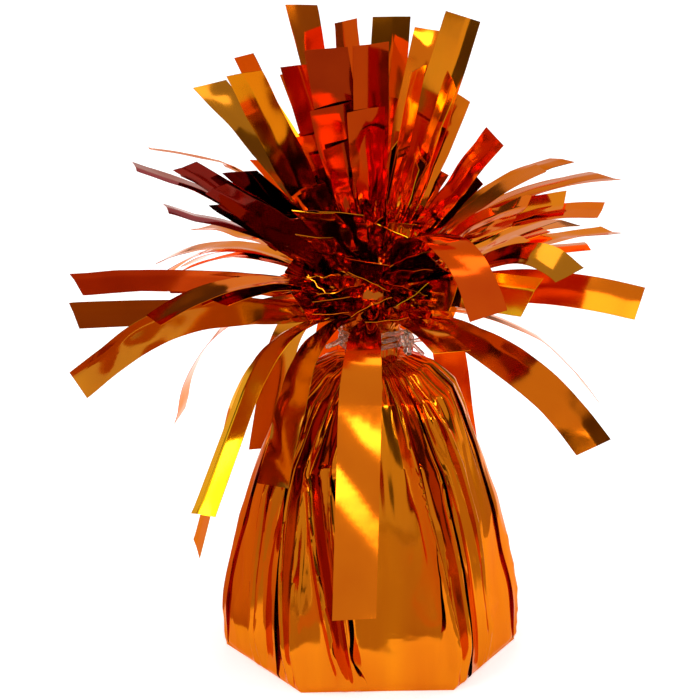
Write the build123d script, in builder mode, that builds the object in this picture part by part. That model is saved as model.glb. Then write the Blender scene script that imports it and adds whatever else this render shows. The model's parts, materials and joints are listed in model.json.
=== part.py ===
# Foil balloon weight: a hexagonal tub of mortar in a gathered foil wrap, tied at the neck,
# with a fringe of cut foil strips above the tie.
# Millimetres. The origin is the middle of the foot, +Z is up and the front faces -Y.

import os
from math import ceil, cos, pi, radians, sin, sqrt

from build123d import *

# Foil wrap: a bell on a hexagonal foot, given by its corner radius at each height
FILM = 0.4  # film and its folds, drawn as one layer
BASE_RADIUS = 30.0
SKIRT_HEIGHT = 11.0
HIP_HEIGHT = 31.5
HIP_RADIUS = 25.6
WAIST_HEIGHT = 43.0
WAIST_RADIUS = 21.6
SHOULDER_HEIGHT = 54.5
SHOULDER_RADIUS = 16.6
COLLAR_HEIGHT = 58.7
COLLAR_RADIUS = 11.6
NECK_HEIGHT = 60.5
NECK_RADIUS = 6.6
NECK_FACE = 0.95  # middle of a face against its corner at the neck, where the hexagon has gone
NECK_PLEAT = 0.16  # depth of a pleat against the radius at the neck

# Tub, base cap and mortar inside the wrap
TUB_HEIGHT = 42.0
TUB_WALL = 1.2
TUB_CLEARANCE = 0.4
CAP_THICKNESS = 1.6
CAP_CLEARANCE = 0.1
FILL_CLEARANCE = 0.2

# Gathered film above the neck: heights over the neck, and radii where the strips leave it
GATHER_RADIUS = 5.4
TIE_ZONE = 6.0
LOWER_RISE = 8.5
LOWER_RADIUS = 6.7
MIDDLE_RISE = 13.0
MIDDLE_RADIUS = 7.7
UPPER_RISE = 17.0
UPPER_RADIUS = 7.5
TOP_RISE = 20.0
TOP_RADIUS = 5.9
CROWN_RISE = 22.4
CROWN_RADIUS = 3.7
GATHER_RIDGES = 12
GATHER_CREASE = 0.03  # depth of a crease against the radius

# Clear elastic tie and its knot
TIE_DIAMETER = 0.9
TIE_TURNS = 3
TIE_PITCH = 1.36
TIE_GAP = 0.25
TIE_LIFT = 0.3  # foot of the knot over the neck of the wrap
KNOT_AZIMUTH = -28.0
KNOT_WIDTH = 2.4
KNOT_DEPTH = 2.0
KNOT_MARGIN = 0.6
KNOT_FILLET = 0.6

# Fringe strips
STRIP_WIDTH = 8.0
STRIP_LENGTH = 50.0
STRIP_FILM = 0.25  # stand-in for a film of about 0.03
ROOT_WIDTH = 1.6
ROOT_SPREAD = 20.0  # length over which a strip opens from its root to its full width
ROOT_GAP = 0.5
CROWN_GAP = 0.5
SPAN_COUNT = 8
SPAN_STEPS = 6

# One row for each strip, read from the photograph: azimuth, rise at the root, rise at the tip,
# where along the strip the bend starts and ends, roll of the face at the root and at the tip,
# and the share of the strip's length that stands clear of the bunch
CROWN_STRIPS = (
    (10, 73, 73, 0, 1, 45, 45, 0.89),
    (42, 72, 72, 0, 1, 36, 36, 0.82),
    (74, 74, 72, 0, 1, 34, 34, 0.86),
    (106, 75, 75, 0, 1, 34, 34, 0.84),
    (135, 72, 73, 0, 1, 32, -4, 0.92),
    (170, 72, 69, 0, 1, 36, 36, 0.68),
    (-158, 73, 73, 0, 1, 36, 36, 0.72),
    (-126, 74, 74, 0, 1, 34, 34, 0.8),
    (-94, 75, 75, 0, 1, 34, 34, 0.82),
    (-62, 71, 71, 0, 1, 36, 36, 0.74),
    (-28, 70, 70, 0, 1, 36, 36, 0.68),
)
TOP_STRIPS = (
    (-160, 62, 63, 0, 1, 38, 38, 0.82),
    (164, 64, 64, 0, 1, 44, 44, 0.84),
    (-179, 56, 4, 0, 1, 6, 6, 0.86),
    (50, 57, 52, 0, 1, 30, 30, 0.7),
    (-22, 57, 52, 0, 1, 40, 40, 0.6),
)
UPPER_STRIPS = (
    (144, 53, 42, 0, 1, 40, -16, 0.9),
    (178, 40, 16, 0, 1, 0, 0, 0.86),
    (-154, 44, 30, 0, 1, 35, 20, 0.78),
    (16, 42, -3, 0, 1, 0, 0, 0.92),
    (-10, 40, -2, 0, 1, 10, 10, 0.78),
    (122, 48, 33, 0, 1, 0, 0, 0.88),
    (98, 50, 35, 0, 1, 0, 0, 0.88),
    (74, 46, 31, 0, 1, 0, 0, 0.88),
    (-66, 62, -63, 0, 1, 0, 0, 0.92),
    (-112, 45, 25, 0, 1, 0, 0, 0.6),
)
MIDDLE_STRIPS = (
    (-178, 8, -4, 0, 1, 36, 42, 0.98),
    (154, 36, -44, 0, 1, 0, 0, 0.84),
    (-160, 26, -34, 0, 1, 0, 0, 0.76),
    (10, 24, 2, 0, 1, 0, 0, 0.84),
    (-28, 26, -54, 0.6, 1, 20, 20, 0.72),
    (-10, 10, -14, 0, 1, 40, 40, 0.88),
    (-46, 16, 1, 0, 1, 50, 50, 0.64),
    (32, 25, -5, 0, 1, 0, 0, 0.84),
    (62, 20, -10, 0, 1, 0, 0, 0.92),
    (95, 20, -10, 0, 1, 0, 0, 0.92),
    (128, 20, -10, 0, 1, 0, 0, 0.92),
)
LOWER_STRIPS = (
    (172, -1, -4, 0, 1, 44, 52, 1.04),
    (-171, 4, -38, 0.35, 0.8, 55, 60, 1.08),
    (150, 10, -84, 0, 1, -10, -16, 1.04),
    (-158, 0, -74, 0, 0.5, 14, 8, 1.16),
    (-144, 12, -64, 0, 0.5, 14, 6, 1.04),
    (-130, 6, -68, 0, 0.5, 14, 6, 0.8),
    (-97, 10, -70, 0, 0.45, 0, 0, 1.32),
    (-62, 10, -20, 0, 1, 0, 0, 0.44),
    (-28, -6, -53, 0, 1, 35, 35, 0.92),
    (4, 6, -60, 0, 1, 0, 0, 0.88),
    (56, 5, -75, 0, 0.6, 0, 0, 1.08),
    (78, 5, -75, 0, 0.6, 0, 0, 1.08),
    (102, 5, -75, 0, 0.6, 0, 0, 1.08),
    (124, 5, -75, 0, 0.6, 0, 0, 1.08),
)

# Side leaves, cut in the same piece of film as a strip and joined to it at the root:
# turn about the axis, lift of the whole leaf, and share of the strip's length
SIDE_LEAVES = {
    "upper_strip_02": ((5, -9, 0.8), (-7, 3, 0.65)),
    "upper_strip_03": ((7, 7, 0.8), (-7, -5, 0.7)),
    "upper_strip_04": ((7, 5, 0.85), (-5, 9, 0.7)),
    "upper_strip_05": ((5, 3, 0.85), (-7, 7, 0.7)),
    "upper_strip_06": ((5, -9, 0.7),),
    "upper_strip_07": ((-5, 7, 0.8), (-5, -9, 0.65)),
    "upper_strip_08": ((-5, -7, 0.8), (-7, 3, 0.65)),
    "upper_strip_10": ((7, 5, 0.8), (-7, -5, 0.7)),
    "middle_strip_04": ((5, 3, 0.7), (-5, -3, 0.85)),
    "middle_strip_08": ((5, 3, 0.8), (5, -7, 0.7)),
}

os.makedirs("parts", exist_ok=True)

HEX_FACE = cos(radians(30))  # apothem of a hexagon of corner radius 1
BELL_SIDES = 24

BELL = (
    (0.0, BASE_RADIUS),
    (SKIRT_HEIGHT, BASE_RADIUS),
    (HIP_HEIGHT, HIP_RADIUS),
    (WAIST_HEIGHT, WAIST_RADIUS),
    (SHOULDER_HEIGHT, SHOULDER_RADIUS),
    (COLLAR_HEIGHT, COLLAR_RADIUS),
    (NECK_HEIGHT, NECK_RADIUS),
)


def finish(piece, name):
    """Label a finished piece and write its file."""
    piece.part.label = name
    export_step(piece.part, f"parts/{name}.step")


def bell_radius(height):
    """Corner radius of the bell at a height, in straight runs between its sections."""
    for (low, low_radius), (high, high_radius) in zip(BELL, BELL[1:]):
        if height <= high:
            share = (height - low) / (high - low)
            return low_radius + (high_radius - low_radius) * share
    return BELL[-1][1]


def levels(bottom, top):
    """Heights of a loft that follows the bell: its ends, and the bell's bends between them."""
    return [bottom] + [height for height, _ in BELL if bottom < height < top] + [top]


def gathered(height):
    """How far the film is gathered at a height: 0 up to the skirt, 1 at the neck."""
    return max(0.0, (height - SKIRT_HEIGHT) / (NECK_HEIGHT - SKIRT_HEIGHT))


def bell_section(height, inset):
    """Pleated outline of the bell at a height, moved in by the inset."""
    corner = bell_radius(height)
    amount = gathered(height)
    points = []
    for side in range(BELL_SIDES):
        angle = side * 2 * pi / BELL_SIDES
        from_corner = (side % 4) * 2 * pi / BELL_SIDES
        hexagon = HEX_FACE / cos(pi / 6 - from_corner)
        face = hexagon + (NECK_FACE - hexagon) * amount if side % 4 else 1.0
        pleat = NECK_PLEAT * amount**2 if side % 2 else 0.0
        radius = corner * face * (1 - pleat) - inset
        points.append((radius * cos(angle), radius * sin(angle)))
    return points


def bell_face(height, inset):
    """The bell's section at a height, as a face."""
    with BuildSketch(Plane.XY.offset(height)) as section:
        Polygon(*bell_section(height, inset), align=None)
    return section.sketch


# Foil wrap: closed underneath, drawn in to the neck
with BuildPart() as foil_wrap:
    loft([bell_face(height, 0.0) for height in levels(0.0, NECK_HEIGHT)], ruled=True)
    hollow = levels(FILM, NECK_HEIGHT - FILM)
    loft([bell_face(height, FILM / HEX_FACE) for height in hollow], ruled=True, mode=Mode.SUBTRACT)
finish(foil_wrap, "foil_wrap")


def tub_radius(height, inset):
    """Corner radius of a hexagon that clears the pleated wrap, moved in by the inset."""
    pleat = NECK_PLEAT * gathered(height) ** 2
    clear = bell_radius(height) * (1 - pleat)
    return clear - (FILM + TUB_CLEARANCE + inset) / HEX_FACE


def hexagon(height, inset):
    """Hexagonal section of the tub or of what it holds, as a face."""
    with BuildSketch(Plane.XY.offset(height)) as section:
        RegularPolygon(tub_radius(height, inset), 6)
    return section.sketch


TUB_CEILING = TUB_HEIGHT - TUB_WALL
CAP_TOP = FILM + CAP_THICKNESS

# Moulded tub, upside down on the film, open underneath
with BuildPart() as weight_tub:
    loft([hexagon(height, 0.0) for height in levels(FILM, TUB_HEIGHT)], ruled=True)
    hollow = levels(FILM, TUB_CEILING)
    loft([hexagon(height, TUB_WALL) for height in hollow], ruled=True, mode=Mode.SUBTRACT)
finish(weight_tub, "weight_tub")

# Base cap pushed into the mouth of the tub
with BuildPart() as base_cap:
    cap_inset = TUB_WALL + CAP_CLEARANCE
    loft([hexagon(FILM, cap_inset), hexagon(CAP_TOP, cap_inset)], ruled=True)
finish(base_cap, "base_cap")

# Mortar that fills the tub above its cap
with BuildPart() as mortar_fill:
    fill = levels(CAP_TOP, TUB_CEILING - FILL_CLEARANCE)
    loft([hexagon(height, TUB_WALL + FILL_CLEARANCE) for height in fill], ruled=True)
finish(mortar_fill, "mortar_fill")

GATHER = (
    (0.0, GATHER_RADIUS),
    (TIE_ZONE, GATHER_RADIUS),
    (LOWER_RISE, LOWER_RADIUS),
    (MIDDLE_RISE, MIDDLE_RADIUS),
    (UPPER_RISE, UPPER_RADIUS),
    (TOP_RISE, TOP_RADIUS),
    (CROWN_RISE, CROWN_RADIUS),
)

# Gathered film: stands on the neck, goes through the tie and carries the roots of the fringe
with BuildPart() as gathered_core:
    for rise, radius in GATHER:
        with BuildSketch(Plane.XY.offset(NECK_HEIGHT + rise)):
            corners = []
            for corner in range(2 * GATHER_RIDGES):
                crease = GATHER_CREASE if corner % 2 else 0.0
                reach = radius * (1 - crease)
                angle = corner * pi / GATHER_RIDGES
                corners.append((reach * cos(angle), reach * sin(angle)))
            Polygon(*corners, align=None)
    loft(ruled=True)
finish(gathered_core, "gathered_core")

WIND_RADIUS = GATHER_RADIUS + TIE_GAP + TIE_DIAMETER / 2
WIND_FOOT = NECK_HEIGHT + TIE_LIFT + KNOT_MARGIN + TIE_DIAMETER / 2
KNOT_RADIUS = WIND_RADIUS + TIE_DIAMETER / 2 + TIE_GAP + KNOT_DEPTH / 2
OUTWARD = Vector(1, 0, 0).rotate(Axis.Z, KNOT_AZIMUTH)
ALONG = Vector(0, 1, 0).rotate(Axis.Z, KNOT_AZIMUTH)
WIND_RISE = TIE_PITCH * TIE_TURNS


def winding_point(turn):
    """A point of the winding and its direction, counted in turns from the knot."""
    angle = radians(KNOT_AZIMUTH) + 2 * pi * turn
    point = Vector(WIND_RADIUS * cos(angle), WIND_RADIUS * sin(angle), WIND_FOOT + TIE_PITCH * turn)
    ahead = Vector(-sin(angle), cos(angle), TIE_PITCH / (2 * pi * WIND_RADIUS))
    return point, ahead.normalized()


def biarc_joint(start, start_way, end, end_way):
    """Point where two arcs that leave the start and reach the end along these ways meet."""
    chord = end - start
    way = chord.dot(start_way + end_way)
    turn = 2 * (1 - start_way.dot(end_way))
    reach = (sqrt(way * way + turn * chord.dot(chord)) - way) / turn
    return (start + end + (start_way - end_way) * reach) * 0.5


# Elastic tie: one unbroken tube wound round the gathered film, both ends in the knot
knot_foot = OUTWARD * KNOT_RADIUS + Vector(0, 0, WIND_FOOT)
leave = knot_foot + ALONG * (KNOT_WIDTH / 2)
arrive = knot_foot - ALONG * (KNOT_WIDTH / 2) + Vector(0, 0, WIND_RISE)
stops = [(leave + ALONG * TIE_DIAMETER, ALONG)]
stops += [winding_point(quarter / 4) for quarter in range(1, 4 * TIE_TURNS)]
stops += [(arrive - ALONG * TIE_DIAMETER, ALONG)]

with BuildPart() as tie_winding:
    with BuildLine() as route:
        Line(leave, stops[0][0])
        for (start, start_way), (end, end_way) in zip(stops, stops[1:]):
            joint = biarc_joint(start, start_way, end, end_way)
            first = TangentArc(start, joint, tangent=start_way)
            TangentArc(joint, end, tangent=first % 1)
        Line(stops[-1][0], arrive)
    with BuildSketch(Plane(leave, z_dir=ALONG)):
        Circle(TIE_DIAMETER / 2)
    sweep()
finish(tie_winding, "tie_winding")

# The tie's least gap to itself, on points along its route
GAP_POINTS = 720
tie_wire = route.wire()
spots = [tie_wire @ (spot / GAP_POINTS) for spot in range(GAP_POINTS + 1)]
quarter_turn = ceil(GAP_POINTS / TIE_TURNS / 4)
least = min(
    (spots[far] - spots[near]).length
    for near in range(GAP_POINTS)
    for far in range(near + quarter_turn, GAP_POINTS + 1)
)
print(f"tie: least gap to itself {least - TIE_DIAMETER:.2f} mm, length {tie_wire.length:.1f} mm")

# Knot of the tie, outside the turns
KNOT_HEIGHT = WIND_RISE + TIE_DIAMETER + 2 * KNOT_MARGIN
knot_middle = knot_foot + Vector(0, 0, WIND_RISE / 2)
with BuildPart(Plane(knot_middle, x_dir=OUTWARD, z_dir=(0, 0, 1))) as tie_knot:
    Box(KNOT_DEPTH, KNOT_WIDTH, KNOT_HEIGHT)
    fillet(tie_knot.edges().filter_by(Axis.Z, reverse=True), KNOT_FILLET)
finish(tie_knot, "tie_knot")


def strip_heading(azimuth, rise):
    """Unit direction of a strip that points this way and climbs at this angle."""
    flat = cos(radians(rise))
    return Vector(flat * cos(radians(azimuth)), flat * sin(radians(azimuth)), sin(radians(rise)))


def root_radius(core_radius, rise, roll):
    """Distance of a strip's root from the axis, so that its rolled edge clears the core."""
    lean = abs(sin(radians(roll)) * sin(radians(rise)))
    return core_radius + ROOT_GAP + lean * ROOT_WIDTH / 2


def strip_sections(radius, height, row):
    """Faces across a strip from root to tip, square to its run."""
    azimuth, rise, tip_rise, bend_from, bend_by, roll, tip_roll, clear = row
    length = STRIP_LENGTH * clear
    across = Vector(-sin(radians(azimuth)), cos(radians(azimuth)), 0)
    point = Vector(radius * cos(radians(azimuth)), radius * sin(radians(azimuth)), height)
    steps = SPAN_COUNT * SPAN_STEPS
    sections = []
    for step in range(steps + 1):
        share = step / steps
        bent = min(1.0, max(0.0, (share - bend_from) / (bend_by - bend_from)))
        ahead = strip_heading(azimuth, rise + (tip_rise - rise) * bent)
        if step % SPAN_STEPS == 0:
            lean = radians(roll + (tip_roll - roll) * share)
            edge = across * cos(lean) + ahead.cross(across) * sin(lean)
            opened = min(1.0, share * length / ROOT_SPREAD)
            width = ROOT_WIDTH + (STRIP_WIDTH - ROOT_WIDTH) * opened
            with BuildSketch(Plane(point, x_dir=edge, z_dir=ahead)) as section:
                Rectangle(width, STRIP_FILM)
            sections.append(section.sketch)
        point = point + ahead * (length / steps)
    return sections


def leaf_row(row, turn, lift, share):
    """Row of a side leaf, which runs as its strip does and stops short of it."""
    azimuth, rise, tip_rise, bend_from, bend_by, roll, tip_roll, clear = row
    leaf_roll = roll + (tip_roll - roll) * share
    return (
        azimuth + turn,
        rise + lift,
        tip_rise + lift,
        bend_from / share,
        bend_by / share,
        roll,
        leaf_roll,
        clear * share,
    )


FRINGE = (
    ("crown", CROWN_RADIUS, CROWN_RISE + CROWN_GAP, CROWN_STRIPS),
    ("top", TOP_RADIUS, TOP_RISE, TOP_STRIPS),
    ("upper", UPPER_RADIUS, UPPER_RISE, UPPER_STRIPS),
    ("middle", MIDDLE_RADIUS, MIDDLE_RISE, MIDDLE_STRIPS),
    ("lower", LOWER_RADIUS, LOWER_RISE, LOWER_STRIPS),
)

# Fringe: each strip leaves the gathered film on its own, opens to its full width and bends.
# A strip or leaf is lofted in two halves, so that neither half turns through more than a right angle.
for tier, core_radius, rise_over_neck, rows in FRINGE:
    for number, row in enumerate(rows, start=1):
        name = f"{tier}_strip_{number:02d}"
        radius = root_radius(core_radius, row[1], row[5])
        leaves = [leaf_row(row, *leaf) for leaf in SIDE_LEAVES.get(name, ())]
        with BuildPart() as strip:
            for piece in [row] + leaves:
                sections = strip_sections(radius, NECK_HEIGHT + rise_over_neck, piece)
                middle = len(sections) // 2
                loft(sections[: middle + 1], ruled=True)
                loft(sections[middle:], ruled=True)
        finish(strip, name)
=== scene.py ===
# Foil balloon weight: a hexagonal tub of mortar in a pleated orange film, tied at the neck,
# with a fringe of cut film strips above the tie. The scene is in metres. In the sections of the
# film and the tie, a size without MM is in millimetres, and an angle is in degrees.
import json
from math import cos, pi, radians, sin, tan, tau

import bpy
import numpy as np
from mathutils import Matrix, Vector, noise


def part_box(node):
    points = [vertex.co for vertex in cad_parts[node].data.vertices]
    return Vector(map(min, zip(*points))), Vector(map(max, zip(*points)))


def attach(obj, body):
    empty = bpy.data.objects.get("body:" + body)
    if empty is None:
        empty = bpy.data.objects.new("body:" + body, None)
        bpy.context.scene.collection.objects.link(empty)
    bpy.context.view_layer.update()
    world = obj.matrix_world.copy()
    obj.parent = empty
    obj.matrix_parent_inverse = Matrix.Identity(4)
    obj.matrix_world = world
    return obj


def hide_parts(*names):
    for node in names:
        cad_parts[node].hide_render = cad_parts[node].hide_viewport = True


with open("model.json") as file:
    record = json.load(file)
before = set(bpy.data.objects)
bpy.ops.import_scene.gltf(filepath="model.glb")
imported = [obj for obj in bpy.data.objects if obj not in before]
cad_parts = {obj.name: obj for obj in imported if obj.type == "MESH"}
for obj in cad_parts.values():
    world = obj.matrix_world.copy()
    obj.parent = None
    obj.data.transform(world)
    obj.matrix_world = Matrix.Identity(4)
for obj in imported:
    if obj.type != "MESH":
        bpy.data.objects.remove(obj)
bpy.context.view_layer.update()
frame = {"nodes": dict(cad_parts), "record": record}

# Camera
# The photograph looks down a little on the foot, from just left of square on its front face,
# with a long lens close enough to show some depth.
MM = 0.001
CAMERA_AZIMUTH = -2.5
CAMERA_ELEVATION = 14.7
CAMERA_DISTANCE = 430 * MM
CAMERA_HEIGHT = 61.2 * MM
CAMERA_SHIFT = -4.2 * MM
CAMERA_NEAREST = 10 * MM
LENS = 112.6
SENSOR = 36.0

turn = radians(CAMERA_AZIMUTH)
tilt = radians(CAMERA_ELEVATION)
to_camera = Vector((sin(turn) * cos(tilt), -cos(turn) * cos(tilt), sin(tilt)))
to_right = Vector((cos(turn), sin(turn), 0))
to_top = to_camera.cross(to_right)
aim = Vector((0, 0, CAMERA_HEIGHT)) + to_right * CAMERA_SHIFT

camera_data = bpy.data.cameras.new("camera")
camera_data.lens = LENS
camera_data.sensor_width = SENSOR
camera_data.sensor_fit = "HORIZONTAL"
camera_data.clip_start = CAMERA_NEAREST
camera = bpy.data.objects.new("camera", camera_data)
bpy.context.scene.collection.objects.link(camera)
camera.matrix_world = Matrix((
    (to_right.x, to_top.x, to_camera.x, 0),
    (to_right.y, to_top.y, to_camera.y, 0),
    (to_right.z, to_top.z, to_camera.z, 0),
    (0, 0, 0, 1),
))
camera.location = aim + to_camera * CAMERA_DISTANCE
bpy.context.scene.camera = camera

# Stage
# A wide pale floor under soft lamps. Cards stand round the object and mats lie beside it, out of
# the camera's sight, because bright film is seen by what it mirrors.
FLOOR_HALF = 6.0
FLOOR_COLOUR = (0.93, 0.93, 0.93, 1)
FLOOR_ROUGHNESS = 0.7
FLOOR_GLOW = 0.45
SHEET_ROUGHNESS = 0.9
CARD_DISTANCE = 0.9
CARD_LOWEST = 5 * MM
CARD_WARMTH = (1, 0.85, 0.7)
# azimuth, width, the angles at which a card's foot and head are seen from the object, and its grey
CARDS = (
    (-92, 56, -4, 1, 0.5),
    (-44, 30, 3, 44, 0.06),
    (-136, 24, 3, 46, 0.06),
    (2, 26, 4, 40, 0.22),
    (-172, 16, 2, 42, 0.2),
    (58, 40, 2, 40, 0.2),
    (112, 26, 6, 36, 0.06),
    (140, 12, 4, 50, 0.08),
)
MAT_LIFT = 0.5 * MM
# the near left and far right corners of each mat on the floor, and its colour
MATS = (
    ((-0.5, -0.9), (0.5, -0.055), (0.55, 0.47, 0.38, 1)),
    ((-0.9, -0.35), (-0.04, 0.4), (0.7, 0.36, 0.22, 1)),
    ((0.13, -0.35), (0.9, 0.35), (0.55, 0.47, 0.38, 1)),
)
# name, place, size and power of each square softbox
LAMPS = (
    ("key_lamp", (-0.6, -0.75, 0.95), 0.3, 2.6),
    ("front_lamp", (-0.02, -0.95, 0.62), 0.2, 1.0),
    ("window_lamp", (0.51, -0.88, 0.66), 0.2, 1.0),
    ("left_lamp", (-0.92, 0.26, 0.4), 0.3, 1.6),
    ("right_lamp", (0.9, -0.35, 0.7), 0.25, 1.2),
    ("top_lamp", (0.1, 0.2, 1.2), 0.7, 4.0),
)
LAMP_AIM = Vector((0, 0, 60 * MM))
SKY_COLOUR = (0.95, 0.95, 0.95, 1)
SKY_STRENGTH = 0.8


def link(tree, source, target):
    """Join the output of one node to the input of another."""
    tree.links.new(source, target)


def math_node(tree, operation):
    """A node that works on numbers."""
    node = tree.nodes.new("ShaderNodeMath")
    node.operation = operation
    return node


def new_material(name):
    """A node material with its tree and its shader, ready for more nodes."""
    material = bpy.data.materials.new(name)
    material.use_nodes = True
    tree = material.node_tree
    shader = tree.nodes["Principled BSDF"]
    return material, tree, shader


def dull_material(name, colour):
    """Matt card or felt of one colour."""
    material, _, shader = new_material(name)
    shader.inputs["Base Color"].default_value = colour
    shader.inputs["Roughness"].default_value = SHEET_ROUGHNESS
    return material


def floor_material():
    """Pale floor with a little light of its own, for the camera and for what mirrors it."""
    material, tree, shader = new_material("pale_floor")
    shader.inputs["Base Color"].default_value = FLOOR_COLOUR
    shader.inputs["Roughness"].default_value = FLOOR_ROUGHNESS
    shader.inputs["Emission Color"].default_value = (1, 1, 1, 1)
    light_path = tree.nodes.new("ShaderNodeLightPath")
    mirrored = math_node(tree, "MAXIMUM")
    link(tree, light_path.outputs["Is Glossy Ray"], mirrored.inputs[0])
    link(tree, light_path.outputs["Is Transmission Ray"], mirrored.inputs[1])
    seen = math_node(tree, "MAXIMUM")
    link(tree, light_path.outputs["Is Camera Ray"], seen.inputs[0])
    link(tree, mirrored.outputs[0], seen.inputs[1])
    glow = math_node(tree, "MULTIPLY")
    glow.inputs[1].default_value = FLOOR_GLOW
    link(tree, seen.outputs[0], glow.inputs[0])
    link(tree, glow.outputs[0], shader.inputs["Emission Strength"])
    return material


def stage_sheet(name, corners, material):
    """A plain four-cornered sheet of the studio, which isn't part of the object."""
    mesh = bpy.data.meshes.new(name)
    mesh.from_pydata(corners, [], [(0, 1, 2, 3)])
    sheet = bpy.data.objects.new(name, mesh)
    mesh.materials.append(material)
    bpy.context.scene.collection.objects.link(sheet)
    return sheet


def flat_corners(left, near, right, far, height):
    """Corners of a level sheet."""
    return [(left, near, height), (right, near, height), (right, far, height), (left, far, height)]


stage_sheet("floor", flat_corners(-FLOOR_HALF, -FLOOR_HALF, FLOOR_HALF, FLOOR_HALF, 0), floor_material())

for number, (azimuth, width, foot, head, grey) in enumerate(CARDS, start=1):
    paint = dull_material(f"card_grey_{number}", (*(grey * warmth for warmth in CARD_WARMTH), 1))
    way = radians(azimuth)
    out = Vector((cos(way), sin(way), 0)) * CARD_DISTANCE
    side = Vector((-sin(way), cos(way), 0)) * (CARD_DISTANCE * tan(radians(width / 2)))
    low = Vector((0, 0, max(CARD_LOWEST, CARD_DISTANCE * tan(radians(foot)) + CAMERA_HEIGHT)))
    high = Vector((0, 0, CARD_DISTANCE * tan(radians(head)) + CAMERA_HEIGHT))
    corners = [out - side + low, out + side + low, out + side + high, out - side + high]
    card = stage_sheet(f"card_{number}", corners, paint)
    card.visible_camera = False
    card.visible_shadow = False

for number, (near_left, far_right, colour) in enumerate(MATS, start=1):
    felt = dull_material(f"mat_felt_{number}", colour)
    mat = stage_sheet(f"mat_{number}", flat_corners(*near_left, *far_right, MAT_LIFT), felt)
    mat.visible_camera = False
    mat.visible_diffuse = False
    mat.visible_shadow = False

for name, place, size, power in LAMPS:
    lamp_data = bpy.data.lights.new(name, "AREA")
    lamp_data.shape = "SQUARE"
    lamp_data.size = size
    lamp_data.energy = power
    lamp = bpy.data.objects.new(name, lamp_data)
    lamp.location = place
    lamp.rotation_euler = (LAMP_AIM - Vector(place)).to_track_quat("-Z", "Y").to_euler()
    bpy.context.scene.collection.objects.link(lamp)

world = bpy.data.worlds.new("studio")
world.use_nodes = True
bpy.context.scene.world = world
sky = world.node_tree.nodes["Background"]
sky.inputs["Color"].default_value = SKY_COLOUR
sky.inputs["Strength"].default_value = SKY_STRENGTH
bpy.context.scene.view_settings.view_transform = "Standard"

# Mortar, base cap and tub
# The weight itself: mortar cast in a moulded six-sided tub that stands mouth down on its cap.
# They are shut inside the film, so their solids stay and only take their finishes.
nodes = frame["nodes"]
GRAIN_DEPTH = 0.3 * MM
GRAIN_DETAIL = 6
GRAIN_BAND = (0.35, 0.65)
MORTAR_DARK = (0.3, 0.29, 0.27, 1)
MORTAR_LIGHT = (0.55, 0.54, 0.51, 1)
PLASTIC_DARK = (0.74, 0.74, 0.72, 1)
PLASTIC_LIGHT = (0.8, 0.8, 0.78, 1)


def mottle(tree, shader, scale, detail, dark, light, band=(0, 1)):
    """Mottle a shader's colour between two shades, and give back the grain that does it."""
    where = tree.nodes.new("ShaderNodeTexCoord")
    grain = tree.nodes.new("ShaderNodeTexNoise")
    grain.inputs["Scale"].default_value = scale
    grain.inputs["Detail"].default_value = detail
    link(tree, where.outputs["Object"], grain.inputs["Vector"])
    shades = tree.nodes.new("ShaderNodeValToRGB")
    for stop, colour, position in zip(shades.color_ramp.elements, (dark, light), band):
        stop.color = colour
        stop.position = position
    link(tree, grain.outputs["Fac"], shades.inputs["Fac"])
    link(tree, shades.outputs["Color"], shader.inputs["Base Color"])
    return grain.outputs["Fac"]


def emboss(tree, shader, height, strength, depth):
    """Raise and sink a shader's surface by a height."""
    relief = tree.nodes.new("ShaderNodeBump")
    relief.inputs["Strength"].default_value = strength
    relief.inputs["Distance"].default_value = depth
    link(tree, height, relief.inputs["Height"])
    link(tree, relief.outputs["Normal"], shader.inputs["Normal"])


def speckled(name, dark, light, scale, roughness, bump):
    """A dull material mottled between two colours, with a fine bump."""
    material, tree, shader = new_material(name)
    grain = mottle(tree, shader, scale, GRAIN_DETAIL, dark, light, GRAIN_BAND)
    emboss(tree, shader, grain, bump, GRAIN_DEPTH)
    shader.inputs["Roughness"].default_value = roughness
    return material


def dress(name, material):
    """Give a solid that stays its own finish."""
    mesh = nodes[name].data
    mesh.materials.clear()
    mesh.materials.append(material)


mortar = speckled("mortar", MORTAR_DARK, MORTAR_LIGHT, scale=700, roughness=0.95, bump=0.8)
tub_plastic = speckled("tub_plastic", PLASTIC_DARK, PLASTIC_LIGHT, scale=250, roughness=0.45, bump=0.1)
dress("mortar_fill", mortar)
dress("weight_tub", tub_plastic)
dress("base_cap", tub_plastic)

# Foil wrap
# One sheet of orange metallised film, laid under the foot and drawn up its six sides to the neck.
# Its spare width lies in long folds and darts on the sides and in small pleats below the tie.
# The wrap's colour is mixed in upright streaks between a redder tint and a golder one: painted reflection of
# its fine crinkles.
WRAP_TINT = (0.55, 0.1, 0.002, 1)
WRAP_GOLD = (0.78, 0.23, 0.003, 1)
WRAP_REFLECTION_STREAK = (1, 1, 0.12)
FILM_POLISH = 0.07
FILM_HAZE = 0.16
FILM_COAT = 0.1
FILM_EDGE = (1.0, 0.6, 0.4, 1)
CRINKLE_DEPTH = 0.5 * MM
# height and corner radius of the bell, close to those of the solid
BELL = ((0, 30), (11, 30), (20, 28.2), (31.5, 25.6), (43, 21.6), (54.5, 16.6), (58.7, 11.8), (60.5, 6.8))
NECK = 60.5
SKIRT = 11.0
TUB_TOP = 43.0
TUB_INSET = 0.6
FOOT_ROUND = 1.4
FOOT_TUCK = 1.1
BEND_EASE = 3.4
# the heights between which the bell's bends turn sharp again
SHARP_HEIGHTS = (46, 57)
# how far the profile is drawn past the foot and the neck, and the radius that it ends on
PROFILE_MARGIN = 12
PROFILE_END = 5.0
CORNER_WEAR = 0.012
GATHERED_ROUND = 0.97
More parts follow.
